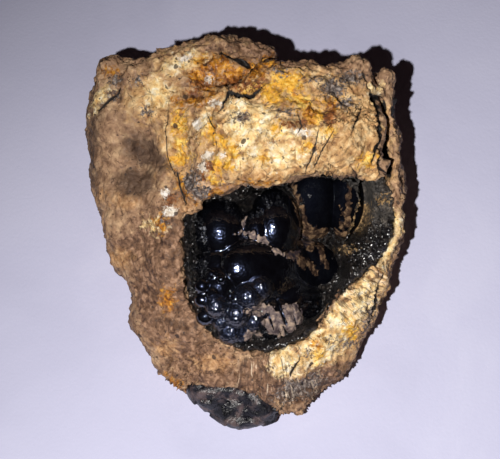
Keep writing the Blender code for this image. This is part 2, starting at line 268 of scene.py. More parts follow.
def smoothed(obj, rounds, factor=0.5):
    modifier = obj.modifiers.new("smooth", "SMOOTH")
    modifier.factor = factor
    modifier.iterations = rounds
    return applied(obj)


def thinned(obj, most, hidden):
    """The object with at most that many triangles, taken first from where hidden is near 1."""
    triangles = sum(len(face.vertices) - 2 for face in obj.data.polygons)
    if triangles <= most:
        return obj
    weights = obj.vertex_groups.new(name="hidden")
    for level in range(11):
        chosen = np.nonzero(np.round(hidden * 10) == level)[0]
        weights.add(chosen.tolist(), level / 10, "REPLACE")
    modifier = obj.modifiers.new("thin_out", "DECIMATE")
    modifier.ratio = most / triangles
    modifier.vertex_group = "hidden"
    modifier.vertex_group_factor = 0.1
    applied(obj)
    obj.vertex_groups.clear()
    return obj


def face_copy(node, name):
    """A copy of a CAD node's mesh, laid out in face millimetres."""
    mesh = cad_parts[node].data.copy()
    mesh.materials.clear()
    set_points(mesh, on_face(get_points(mesh)))
    return new_object(name, mesh)


def add_ellipsoid(edit, centre, sizes, turn=(0, 0, 0), detail=4):
    """Adds an ellipsoid to the mesh being edited. turn is in degrees about x, y and z."""
    made = bmesh.ops.create_icosphere(edit, subdivisions=detail, radius=1)["verts"]
    turned = Euler([math.radians(a) for a in turn]).to_matrix()
    for vert in made:
        vert.co = turned @ Vector([c * s for c, s in zip(vert.co, sizes)]) + Vector(centre)
    return made


def join_in(obj, edit):
    """Adds the shapes in edit to the object's mesh."""
    edit.from_mesh(obj.data)
    edit.to_mesh(obj.data)
    edit.free()
    return obj


def settle(obj, slot, *nodes):
    """Takes a finished piece to its place in the row frame, flat where it meets the ground, attaches it to the root
    body and hides the CAD nodes it replaces.
    """
    points = off_face(get_points(obj.data))
    points[:, 2] = np.maximum(points[:, 2], 0)
    set_points(obj.data, points)
    obj.data.polygons.foreach_set("use_smooth", np.ones(len(obj.data.polygons), bool))
    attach(obj, "root")
    if nodes:
        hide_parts(*nodes)
    return obj


# Crust

# Lumps added to the crust: centre, half sizes and turn
CRUST_KNOBS = [
    ((22.0, 32.4, 6.4), (2.3, 2.4, 2.6), (0, 0, 0)),
    ((27.6, 30.6, -0.6), (2.3, 2.2, 2.6), (0, 0, 0)),
    ((27.4, 26.0, -1.6), (1.4, 4.4, 2.4), (0, 0, 8)),
    ((30.2, 19.2, -3.4), (1.4, 3.0, 2.4), (0, 0, 0)),
    ((10.6, -34.6, -3.0), (1.0, 1.6, 1.4), (0, 0, 10)),
    ((-26.8, 34.4, -3.0), (2.4, 2.2, 3.0), (0, 0, 30)),
    ((-10.4, 5.6, 7.6), (2.2, 1.7, 1.6), (0, 0, -20)),
    ((-7.4, 31.4, -23.6), (4.2, 3.6, 3.6), (0, 0, 0)),
]

# Cracks and gaps: x and y as seen, and half width
CRACKS = [
    [(24.2, 32.4, 0.2), (25.0, 29.6, 0.3), (27.2, 27.0, 0.7), (27.4, 22.0, 0.6), (27.4, 17.0, 0.8),
     (28.0, 12.0, 0.9)],
    [(27.2, 19.0, 0.3), (25.6, 14.6, 0.2)],
    [(-3.4, 29.0, 0.25), (-4.6, 26.6, 0.2), (-5.4, 24.6, 0.08)],
    [(-3.4, 29.0, 0.3), (-1.4, 28.6, 0.5), (1.2, 28.4, 0.5), (2.8, 29.4, 0.2)],
    [(14.8, 21.0, 0.05), (14.0, 17.4, 0.1), (12.6, 13.6, 0.1), (12.0, 12.0, 0.05)],
    [(17.8, 20.8, 0.05), (15.6, 17.0, 0.1), (14.0, 13.6, 0.08)],
    [(23.4, 25.6, 0.1), (22.8, 23.6, 0.2), (22.0, 21.6, 0.15)],
    [(-5.0, 35.6, 0.3), (-1.6, 34.6, 0.5), (0.6, 33.6, 0.35)],
    [(11.0, -24.2, 0.05), (10.2, -26.2, 0.15), (9.2, -28.4, 0.08)],
    [(27.6, -8.0, 0.1), (26.8, -12.0, 0.3), (25.8, -15.4, 0.3), (24.6, -17.6, 0.15)],
    [(-15.2, 26.6, 0.02), (-15.8, 21.0, 0.05), (-15.6, 15.6, 0.06), (-14.0, 12.0, 0.04)],
    [(-13.6, 12.6, 0.1), (-13.0, 9.0, 0.14), (-12.2, 6.4, 0.1)],
    [(-7.2, 23.6, 0.04), (-6.2, 21.0, 0.12), (-6.0, 18.0, 0.08)],
    [(-29.4, 25.0, 0.1), (-27.0, 27.4, 0.25), (-25.2, 29.6, 0.1)],
    [(10.6, 24.6, 0.05), (11.6, 22.0, 0.1), (10.6, 20.4, 0.05)],
    [(24.6, 9.8, 0.1), (22.6, 11.0, 0.15), (21.6, 13.0, 0.08)],
]

# Fibres spread from here; one radian round it counts as this many millimetres
FIBRE_CENTRE = np.array((2.0, 2.0))
FIBRE_TURN = 25.0
FIBRE_WIDTH = 0.5
FIBRE_LENGTH = 3.0


def build_crust():
    crust = smoothed(remeshed(face_copy("limonite_crust", "limonite_shell"), 0.55), 26)
    edit = bmesh.new()
    for centre, sizes, turn in CRUST_KNOBS:
        add_ellipsoid(edit, centre, sizes, turn)
    join_in(crust, edit)
    crust = smoothed(remeshed(crust, CRUST_SIZE), 2)
    mesh = crust.data
    points, edges = get_points(mesh), get_edges(mesh)
    normals = spread_out(get_normals(mesh), edges, 6)
    normals /= np.linalg.norm(normals, axis=1, keepdims=True)
    points = lift_lip(points)
    facing = smooth_step(normals[:, 2], -0.1, 0.2)
    seen = as_seen(points)
    height = crust_relief(points, seen, facing)
    set_points(mesh, points + normals * height[:, None])
    # crevice holds how far each vertex lies below its smoothed neighbours; the material darkens these recesses as
    # painted shade
    keep_attribute(mesh, "crevice", spread_out(height, edges, 8) - height)
    mark_crust(mesh, seen, facing)
    thinned(crust, CRUST_TRIANGLES, 1 - facing)
    crust.data.materials.append(crust_material())
    return crust


# The left part of the lip: x and y as seen, half width, half height and turn, and how far it is drawn up
LIP = (-2.6, 6.6, 8.6, 4.6, 16)
LIP_LIFT = 1.5


def lift_lip(points):
    """Draws the left part of the lip up to where it belongs."""
    seen = as_seen(points)
    reach = patch_reach(seen, [LIP])
    share = smooth_step(reach, 0.0, 3.0) * smooth_step(points[:, 2], 4.0, 7.0)
    points[:, 1] += LIP_LIFT * share
    return points


def terraces(points, size, salt, step):
    """Heights that climb in steps along wandering lines, as on peeling layers."""
    climb = noise_at(points, size, 3, salt) * 4
    floor = np.floor(climb)
    return (floor + smooth_step(climb - floor, 0.7, 1.0)) * step


def crust_relief(points, seen, facing):
    """Heights of lumps, broken plates, ledges, fibres, pits and cracks, in millimetres."""
    turn, out = fibre_place(seen)
    radial = smooth_step(patch_reach(seen, RADIAL), -2.0, 2.0) * facing
    drawn = np.stack([turn, out * 0.45, points[:, 2] * 0.7], 1)
    laid = warped(points * (1 - radial[:, None]) + drawn * radial[:, None], 3.0, 0.9, 10)
    blurred = smooth_step(patch_reach(seen, BLURRED), -2.0, 2.0) * facing
    crisp = 1 - 0.55 * blurred
    coarse, _ = plate_heights(laid, 3.6, 20, 0.24, 0.16)
    middle, _ = plate_heights(laid, 1.5, 40, 0.13, 0.24)
    fine, _ = plate_heights(points, 0.85, 60, 0.06, 0.22)
    height = 0.45 * noise_at(points, 5.0, 3, 3) + crisp * (coarse + middle + fine)
    height += crisp * (terraces(laid, 3.4, 15, 0.14) + terraces(laid, 1.7, 16, 0.07))
    owner, offset, _ = plates_at(points, 1.9, 70)
    size = 0.2 + 0.25 * scrambled(owner, 71)
    hole = np.clip(1 - np.linalg.norm(offset, axis=1) / size, 0, 1) * (scrambled(owner, 72) < 0.22)
    height -= 0.8 * crisp * np.sqrt(hole)
    fibres = smooth_step(patch_reach(seen, CRUST_PATCHES["fibrous"]), -0.5, 1.5) * facing
    along = np.stack([turn / 0.9, out / 6.0, points[:, 2] / 3.0], 1)
    height += 0.2 * fibres * noise_at(along, 1.0, 2, 25)
    gap, width = crack_field(seen)
    groove = np.clip(1 - np.abs(gap) / (width + 0.3), 0, 1) * smooth_step(width, 0, 0.15)
    return height - groove * (0.6 + 3.6 * np.clip(width, 0, 1)) * facing


# Where the broken plates are drawn out away from the cavity, and where the relief is soft
RADIAL = [(14.0, -20.0, 16.0, 12.0, 40), (26.0, -6.0, 8.0, 14.0, 0), (-2.0, -30.0, 12.0, 8.0, 0), (22.0, 17.0, 7.0, 7.0, 0)]
BLURRED = [(-26.0, 8.0, 13.0, 24.0, 0), (-22.0, -14.0, 10.0, 16.0, 30)]


def fibre_place(seen):
    """Where a point lies among the fibres: round the cavity, and out from it, in millimetres."""
    away = seen - FIBRE_CENTRE
    turn = np.arctan2(away[:, 0], -away[:, 1]) * FIBRE_TURN
    return turn, np.hypot(away[:, 0], away[:, 1])


def mark_crust(mesh, seen, facing):
    """Stores what the crust's material needs to know at each vertex."""
    gap, width = crack_field(seen)
    turn, out = fibre_place(seen)
    keep_attribute(mesh, "crack_gap", gap)
    keep_attribute(mesh, "crack_width", width * facing)
    keep_attribute(mesh, "fibre_turn", turn)
    keep_attribute(mesh, "fibre_out", out)
    owner, _, _ = plates_at(warped(get_points(mesh), 2.0, 0.6, 50), 1.6, 52)
    keep_attribute(mesh, "flake", scrambled(owner, 53))
    for name, patches in CRUST_PATCHES.items():
        keep_attribute(mesh, name, patch_reach(seen, patches) - 9 * (1 - facing))


def crack_field(seen):
    """The nearest crack: the distance to it, signed by side, and its half width there, 0 far from it."""
    gap = np.full(len(seen), 99.0)
    width = np.zeros(len(seen))
    for path in CRACKS:
        found, wide = line_distance(seen, path)
        closer = np.abs(found) < np.abs(gap)
        gap = np.where(closer, found, gap)
        width = np.where(closer, wide, width)
    return gap, np.where(np.abs(gap) < 1.6, width, 0)


# Patches of each tone on the crust: x and y as seen, half width, half height and turn
CRUST_PATCHES = {
    "ochre": [
        (9.0, 21.0, 20.0, 13.0, 0), (-14.0, 20.0, 3.6, 9.0, 0), (16.0, -21.6, 9.6, 5.4, 45),
        (26.0, -8.0, 6.0, 10.0, -20), (-18.0, 27.0, 6.0, 5.0, 0), (-10.0, 35.0, 8.0, 3.0, 10),
        (26.0, 12.6, 4.0, 3.0, 0),
    ],
    "cream": [
        (-1.4, 25.4, 2.4, 2.0, 0), (3.4, 24.6, 2.6, 1.6, -20), (4.6, 21.0, 2.4, 1.8, 0),
        (0.4, 22.4, 4.4, 4.0, 0),
        (-1.0, 18.6, 2.6, 2.4, 0), (-1.8, 15.0, 2.0, 1.4, 0), (9.0, 20.2, 2.2, 1.2, 0),
        (-8.0, 22.6, 1.2, 1.8, 0),
        (6.0, 16.0, 6.0, 2.4, 0), (15.0, 20.0, 1.6, 1.2, 0), (26.0, 28.0, 1.2, 1.6, 0),
        (8.0, -25.4, 3.2, 3.2, 30), (15.4, -22.6, 5.0, 3.2, 40), (19.0, -16.4, 2.8, 3.4, -20),
        (23.6, -13.0, 2.6, 4.4, -20), (28.0, -2.6, 1.6, 3.6, 0), (30.2, 2.2, 1.2, 2.0, 0),
        (-13.0, 34.4, 3.4, 1.6, 20), (-17.4, 28.4, 2.6, 2.6, 0), (-29.0, 27.2, 0.8, 2.0, -30),
        (-18.4, 2.0, 1.6, 1.2, 0), (19.6, -10.6, 2.6, 1.6, 30),
    ],
    # Pale patches: whitish grains of the crust, and at several of them painted glints where crystals catch the lamp
    "pale": [
        (11.4, 20.6, 1.6, 0.8, -10), (-7.6, 16.0, 1.1, 0.9, 0), (-8.4, 13.6, 0.9, 1.1, 0),
        (-4.4, 16.0, 0.6, 0.5, 0),
        (-9.6, 22.2, 0.9, 1.1, 0), (-6.0, 26.6, 1.1, 0.8, 0), (-16.0, 8.2, 0.7, 0.9, 0),
        (-15.0, 4.8, 1.4, 1.0, 0),
        (21.0, 26.4, 0.6, 0.5, 0), (-12.0, 35.4, 1.4, 0.8, 0), (-7.4, 31.2, 0.7, 0.5, 0),
    ],
    "yellow": [
        (8.2, 30.6, 3.8, 2.0, 0), (11.0, 27.0, 3.0, 1.4, -20), (5.4, 28.0, 2.0, 1.6, 0),
        (2.0, 29.4, 2.2, 1.0, 10),
        (-6.6, 20.4, 1.2, 1.8, 0), (-4.6, 18.6, 1.8, 1.0, 0), (-2.6, 16.6, 1.6, 1.6, 0),
        (-5.4, 14.0, 1.2, 1.6, 0),
        (-3.4, 14.0, 1.6, 1.0, 0), (-6.2, 10.6, 1.0, 1.3, 0), (12.2, 17.8, 0.9, 0.9, 0),
        (17.0, 21.0, 1.3, 1.0, 0),
        (4.0, 15.4, 1.2, 0.8, 0), (6.6, 21.4, 0.9, 1.2, 0), (-13.4, 22.6, 1.4, 2.4, 0),
        (-13.0, 18.0, 1.0, 2.0, 0),
        (-13.0, 15.4, 1.8, 1.2, 0), (-9.0, 34.6, 1.2, 0.8, 0), (14.0, 24.0, 2.2, 1.8, 0),
        (18.4, 26.6, 1.6, 1.0, 0),
        (24.4, 15.0, 2.0, 1.2, 0), (14.8, -24.0, 1.2, 1.4, 0), (21.0, -19.0, 1.4, 2.0, 0),
    ],
    "amber": [
        (-6.4, 33.6, 3.4, 1.8, 10), (-8.6, 31.6, 2.6, 1.8, 0), (-7.4, 29.4, 2.2, 1.2, 0),
        (-2.4, 32.0, 3.4, 1.8, 0),
        (2.0, 33.0, 2.6, 1.6, 0), (5.0, 34.4, 1.8, 1.2, 0), (-9.6, 27.2, 2.6, 1.2, 0),
        (13.4, 24.0, 1.4, 1.6, 0),
        (17.6, 26.0, 1.0, 1.2, 0), (-13.0, 26.8, 1.3, 1.0, 0), (-15.4, -13.0, 1.2, 2.2, 0),
        (-15.0, -30.4, 3.0, 1.6, -30),
        (-26.4, 32.6, 1.3, 0.7, 0), (14.6, -21.6, 0.9, 1.1, 0), (-12.4, 9.6, 0.8, 2.0, 20),
        (-3.4, 8.2, 4.0, 0.7, 10),
        (0.2, 9.2, 2.4, 0.6, 14), (-16.8, 2.4, 1.2, 1.4, 0), (-6.2, 8.4, 3.2, 0.9, 6),
        (1.0, 9.6, 3.4, 0.8, 14),
    ],
    "rust": [
        (11.6, 22.6, 0.9, 1.0, 0), (-7.2, 13.8, 1.1, 1.0, 0), (-8.4, 11.6, 0.8, 0.8, 0),
        (-8.4, 30.2, 1.8, 0.9, 0), (-1.4, 30.4, 3.2, 1.0, 0), (2.6, 30.4, 1.8, 0.8, 30),
        (17.0, 24.0, 1.3, 2.0, 0),
        (-10.2, 28.4, 1.4, 0.8, 0), (9.0, 22.2, 1.6, 0.6, 0), (-15.0, 7.2, 1.0, 1.0, 0),
    ],
    "brown": [
        (-17.6, -2.6, 4.6, 8.0, 15), (-14.4, 0.0, 3.0, 9.0, 0), (-15.0, -8.0, 3.4, 6.0, 0),
        (-14.0, -20.0, 4.4, 7.0, 30),
        (-8.0, -27.0, 8.0, 3.0, 0), (3.0, -29.4, 6.0, 4.4, 0), (6.0, 36.4, 8.0, 2.0, -8),
        (-4.0, 37.4, 6.0, 1.6, 0),
        (-23.0, -3.0, 4.0, 4.0, 0), (-16.0, -14.0, 6.0, 12.0, 20), (-9.0, -25.0, 9.0, 5.0, -30),
        (14.0, -30.0, 7.0, 3.4, 30),
    ],
    "tan": [
        (-25.4, -5.0, 2.6, 2.0, 0), (-24.0, 6.8, 3.0, 1.8, 0), (-15.6, -22.6, 2.0, 2.0, 0),
        (-6.0, -25.6, 3.4, 1.6, 0),
        (-11.4, 5.6, 2.4, 1.8, 0), (-29.6, 8.0, 1.2, 1.2, 0),
    ],
    # Shade patches darken the hollow on the left and the edges facing away from the lamp: partly the crust's own
    # dark brown, partly painted shade
    "shade": [
        (-20.6, 17.0, 4.0, 3.0, -38), (-17.6, 15.0, 2.8, 1.8, -40), (-29.2, 25.2, 1.0, 3.4, -20),
        (-22.0, 10.4, 4.0, 3.0, 0), (16.0, -32.0, 3.0, 2.0, 20), (-30.4, 18.0, 1.0, 9.0, 0),
    ],
    "grey": [
        (17.6, 29.4, 2.4, 2.0, -20), (21.0, 31.4, 2.4, 1.2, 0), (20.0, 26.6, 2.0, 1.2, 0),
        (-0.6, 23.6, 1.6, 1.0, 0),
        (13.4, 31.0, 1.0, 0.4, 0), (6.6, 32.6, 1.0, 0.5, -20), (-10.6, 10.6, 1.6, 2.4, 0),
        (-9.0, 8.4, 1.8, 1.4, 0),
        (-21.6, 31.0, 0.8, 0.9, 0), (-26.0, 31.0, 1.2, 1.0, 0),
        (-26.4, 28.0, 1.0, 0.8, 0), (-19.8, 24.4, 0.9, 0.8, 0), (-16.4, 2.8, 0.6, 0.6, 0),
        (20.6, -21.6, 0.9, 0.7, 0),
        (17.2, -20.8, 0.5, 0.4, 0), (12.8, -23.8, 0.6, 0.4, 0), (11.0, -30.6, 5.0, 2.0, 20),
        (8.2, 24.6, 1.2, 0.5, 0),
        (25.0, -16.0, 0.8, 3.0, -20),
    ],
    "fibrous": [
        (4.0, -28.6, 6.4, 5.4, 0), (12.0, -31.0, 6.0, 3.0, 20), (21.0, -13.4, 4.4, 4.0, -30),
        (25.4, -10.0, 2.6, 5.0, -25),
    ],
}


# Material helpers

def linear(red, green, blue):
    """A colour given in 0 to 255 as it looks on a screen."""
    return tuple(((c / 255 + 0.055) / 1.055) ** 2.4 if c > 10 else c / 3295 for c in (red, green, blue)) + (1.0,)


def place(tree, kind, inputs=None, **settings):
    """Adds a shader node. inputs are values or sockets by name or number; settings are its options."""
    made = tree.nodes.new(kind)
    for name, value in settings.items():
        setattr(made, name, value)
    for name, value in (inputs or {}).items():
        if isinstance(value, bpy.types.NodeSocket):
            tree.links.new(value, made.inputs[name])
        else:
            made.inputs[name].default_value = value
    return made


def calc(tree, operation, *values, clamp=False):
    return place(tree, "ShaderNodeMath", dict(enumerate(values)), operation=operation, use_clamp=clamp).outputs[0]


def mixed(tree, share, first, second):
    """first and second colours mixed by share."""
    made = place(tree, "ShaderNodeMix", data_type="RGBA", clamp_factor=True)
    for index, value in ((0, share), (6, first), (7, second)):
        if isinstance(value, bpy.types.NodeSocket):
            tree.links.new(value, made.inputs[index])
        else:
            made.inputs[index].default_value = value
    return made.outputs[2]


def ranged(tree, value, low, high, to_low=0.0, to_high=1.0):
    names = {"Value": value, "From Min": low, "From Max": high, "To Min": to_low, "To Max": to_high}
    return place(tree, "ShaderNodeMapRange", names, interpolation_type="SMOOTHSTEP").outputs[0]


def group(name, inputs, outputs):
    """A new shader node group. inputs give kind and start value by name, outputs give kind by name."""
    tree = bpy.data.node_groups.new(name, "ShaderNodeTree")
    for label, (kind, start) in inputs.items():
        socket = tree.interface.new_socket(label, in_out="INPUT", socket_type=kind)
        if start is not None:
            socket.default_value = start
    for label, kind in outputs.items():
        tree.interface.new_socket(label, in_out="OUTPUT", socket_type=kind)
    return tree, tree.nodes.new("NodeGroupInput").outputs, tree.nodes.new("NodeGroupOutput").inputs


def use(tree, made, **values):
    """Places a group in a material, with its inputs set by name, and returns its outputs."""
    node = tree.nodes.new("ShaderNodeGroup")
    node.node_tree = made
    for name, value in values.items():
        if isinstance(value, bpy.types.NodeSocket):
            tree.links.new(value, node.inputs[name])
        else:
            node.inputs[name].default_value = value
    return node.outputs


VALUE, COLOUR, VECTOR = "NodeSocketFloat", "NodeSocketColor", "NodeSocketVector"


def scaled_place(tree, vector, size):
    """The place in millimetres divided by size."""
    share = calc(tree, "DIVIDE", 1.0, size)
    return place(tree, "ShaderNodeVectorMath", {0: vector, "Scale": share}, operation="SCALE").outputs[0]


def make_mottle():
    """Three tones run together in soft blotches."""
    tree, given, out = group(
        "mottle",
        {
            "Place": (VECTOR, None), "Size": (VALUE, 2.0), "Dark": (COLOUR, (0, 0, 0, 1)),
            "Mid": (COLOUR, (0.5, 0.5, 0.5, 1)), "Light": (COLOUR, (1, 1, 1, 1)),
        },
        {"Colour": COLOUR, "Tone": VALUE},
    )
    placed = scaled_place(tree, given["Place"], given["Size"])
    names = {"Vector": placed, "Scale": 1.0, "Detail": 4.0, "Roughness": 0.56, "Distortion": 0.5}
    tone = place(tree, "ShaderNodeTexNoise", names).outputs["Fac"]
    colour = mixed(tree, ranged(tree, tone, 0.32, 0.5), given["Dark"], given["Mid"])
    colour = mixed(tree, ranged(tree, tone, 0.48, 0.66), colour, given["Light"])
    tree.links.new(colour, out["Colour"])
    tree.links.new(tone, out["Tone"])
    return tree


def make_patch():
    """The mask of a patch with a ragged edge, from the distance inside it."""
    tree, given, out = group(
        "ragged patch",
        {
            "Place": (VECTOR, None), "Reach": (VALUE, 0.0), "Size": (VALUE, 1.0),
            "Ragged": (VALUE, 1.0), "Softness": (VALUE, 0.4),
        },
        {"Mask": VALUE},
    )
    placed = scaled_place(tree, given["Place"], given["Size"])
    names = {"Vector": placed, "Scale": 1.0, "Detail": 3.0, "Roughness": 0.6, "Distortion": 0.6}
    tone = place(tree, "ShaderNodeTexNoise", names).outputs["Fac"]
    shift = calc(tree, "MULTIPLY", calc(tree, "SUBTRACT", tone, 0.5), calc(tree, "MULTIPLY", given["Ragged"], 5.0))
    reach = calc(tree, "DIVIDE", calc(tree, "ADD", given["Reach"], shift), given["Softness"])
    tree.links.new(calc(tree, "ADD", reach, 0.5, clamp=True), out["Mask"])
    return tree


def make_specks():
    """Small dark grains scattered over a surface."""
    tree, given, out = group(
        "specks",
        {"Place": (VECTOR, None), "Size": (VALUE, 0.6), "Share": (VALUE, 0.3)},
        {"Mask": VALUE},
    )
    placed = scaled_place(tree, given["Place"], given["Size"])
    cell = place(tree, "ShaderNodeTexVoronoi", {"Vector": placed, "Scale": 1.0, "Randomness": 1.0})
    parts = place(tree, "ShaderNodeSeparateColor", {0: cell.outputs["Color"]}).outputs
    names = {"Vector": placed, "Scale": 3.0, "Detail": 2.0}
    wobble = place(tree, "ShaderNodeTexNoise", names).outputs["Fac"]
    size = calc(tree, "MULTIPLY", parts[1], 0.34)
    away = calc(tree, "ADD", cell.outputs["Distance"], calc(tree, "MULTIPLY", wobble, 0.3))
    round_mask = ranged(tree, away, calc(tree, "ADD", size, 0.16), calc(tree, "ADD", size, 0.1))
    chosen = calc(tree, "LESS_THAN", parts[0], given["Share"])
    tree.links.new(calc(tree, "MULTIPLY", round_mask, chosen), out["Mask"])
    return tree


def make_hairlines():
    """Thin broken dark lines between plates: painted shade of fine cracks."""
    tree, given, out = group(
        "hairlines",
        {"Place": (VECTOR, None), "Size": (VALUE, 3.0), "Width": (VALUE, 0.04), "Share": (VALUE, 0.5)},
        {"Mask": VALUE},
    )
    placed = scaled_place(tree, given["Place"], given["Size"])
    wander = place(tree, "ShaderNodeTexNoise", {"Vector": placed, "Scale": 2.4, "Detail": 3.0}).outputs["Color"]
    names = {0: wander, 1: (0.45, 0.45, 0.45), 2: placed}
    push = place(tree, "ShaderNodeVectorMath", names, operation="MULTIPLY_ADD")
    names = {"Vector": push.outputs[0], "Scale": 1.0}
    edge = place(tree, "ShaderNodeTexVoronoi", names, feature="DISTANCE_TO_EDGE").outputs["Distance"]
    line = ranged(tree, edge, given["Width"], calc(tree, "MULTIPLY", given["Width"], 0.3))
    gate = place(tree, "ShaderNodeTexNoise", {"Vector": placed, "Scale": 1.3, "Detail": 2.0}).outputs["Fac"]
    kept = ranged(tree, calc(tree, "ADD", gate, given["Share"]), 0.95, 1.05)
    tree.links.new(calc(tree, "MULTIPLY", line, kept), out["Mask"])
    return tree


def make_grain():
    """Fine crumbly relief, and the same grain as a tone."""
    tree, given, out = group(
        "crumbly grain",
        {"Place": (VECTOR, None), "Size": (VALUE, 0.5)},
        {"Height": VALUE, "Tone": VALUE},
    )
    placed = scaled_place(tree, given["Place"], given["Size"])
    tone = place(tree, "ShaderNodeTexNoise", {"Vector": placed, "Scale": 1.0, "Detail": 4.0, "Roughness": 0.6})
    cell = place(tree, "ShaderNodeTexVoronoi", {"Vector": placed, "Scale": 1.6, "Randomness": 1.0})
    bump = calc(tree, "SUBTRACT", tone.outputs["Fac"], calc(tree, "MULTIPLY", cell.outputs["Distance"], 0.4))
    tree.links.new(bump, out["Height"])
    tree.links.new(tone.outputs["Fac"], out["Tone"])
    return tree


def make_facets():
    """Small flat facets that lean every way, as on broken crystals."""
    tree, given, out = group(
        "facets",
        {"Place": (VECTOR, None), "Size": (VALUE, 0.5), "Lean": (VALUE, 1.0)},
        {"Height": VALUE, "Tone": VALUE},
    )
    placed = scaled_place(tree, given["Place"], given["Size"])
    cell = place(tree, "ShaderNodeTexVoronoi", {"Vector": placed, "Scale": 1.0, "Randomness": 1.0})
    away = place(tree, "ShaderNodeVectorMath", {0: placed, 1: cell.outputs["Position"]}, operation="SUBTRACT")
    lean = place(tree, "ShaderNodeVectorMath", {0: cell.outputs["Color"], 1: (0.5, 0.5, 0.5)}, operation="SUBTRACT")
    rise = place(tree, "ShaderNodeVectorMath", {0: away.outputs[0], 1: lean.outputs[0]}, operation="DOT_PRODUCT")
    height = calc(tree, "MULTIPLY", calc(tree, "MULTIPLY", rise.outputs["Value"], given["Lean"]), given["Size"])
    tree.links.new(height, out["Height"])
    parts = place(tree, "ShaderNodeSeparateColor", {0: cell.outputs["Color"]}).outputs
    tree.links.new(parts[0], out["Tone"])
    return tree


MOTTLE = make_mottle()
PATCH = make_patch()
SPECKS = make_specks()
HAIRLINES = make_hairlines()
GRAIN = make_grain()
FACETS = make_facets()


def new_material(name):
    """A material, its tree, its shader and the place on the piece in millimetres."""
    material = bpy.data.materials.new(name)
    material.use_nodes = True
    tree = material.node_tree
    where = place(tree, "ShaderNodeTexCoord").outputs["Object"]
    where = place(tree, "ShaderNodeVectorMath", {0: where, "Scale": 1 / MM}, operation="SCALE").outputs[0]
    return material, tree, tree.nodes["Principled BSDF"], where


def stored(tree, name):
    return place(tree, "ShaderNodeAttribute", attribute_name=name).outputs["Fac"]


def raised(tree, height, depth, strength=1.0, under=None):
    """A bump of that depth in millimetres."""
    names = {"Height": height, "Distance": depth * MM, "Strength": strength}
    if under is not None:
        names["Normal"] = under
    return place(tree, "ShaderNodeBump", names).outputs["Normal"]


# Tones of the crust, laid over each other in this order: the patches they fill, the size of their blotches,
# how ragged and how soft their edges are, and the dark, middle and light tone
CRUST_LAYERS = (
    ("ochre", 1.8, 1.6, 2.4, (160, 116, 74), (208, 164, 110), (238, 204, 152)),
    ("brown", 1.3, 1.4, 2.0, (66, 42, 30), (122, 90, 68), (176, 138, 110)),
    ("tan", 1.4, 1.2, 1.6, (132, 92, 60), (178, 134, 92), (212, 170, 126)),
    # shade: partly dark brown crust, partly painted shade of the hollow and the far edges
    ("shade", 2.4, 0.8, 2.0, (62, 44, 34), (88, 66, 52), (120, 96, 78)),
    ("cream", 1.5, 1.4, 1.6, (222, 174, 104), (252, 222, 162), (255, 246, 218)),
    ("yellow", 1.2, 1.2, 1.2, (190, 122, 26), (236, 176, 50), (254, 216, 116)),
    ("amber", 1.2, 1.2, 1.2, (88, 44, 8), (182, 114, 24), (236, 172, 64)),
    ("rust", 0.9, 1.0, 0.8, (52, 24, 10), (122, 68, 28), (182, 116, 60)),
    # pale: whitish grains, partly painted glints of crystals
    ("pale", 0.7, 0.6, 0.4, (196, 176, 156), (236, 224, 206), (255, 250, 244)),
    ("grey", 0.7, 1.2, 0.8, (24, 21, 23), (90, 82, 80), (172, 160, 152)),
)


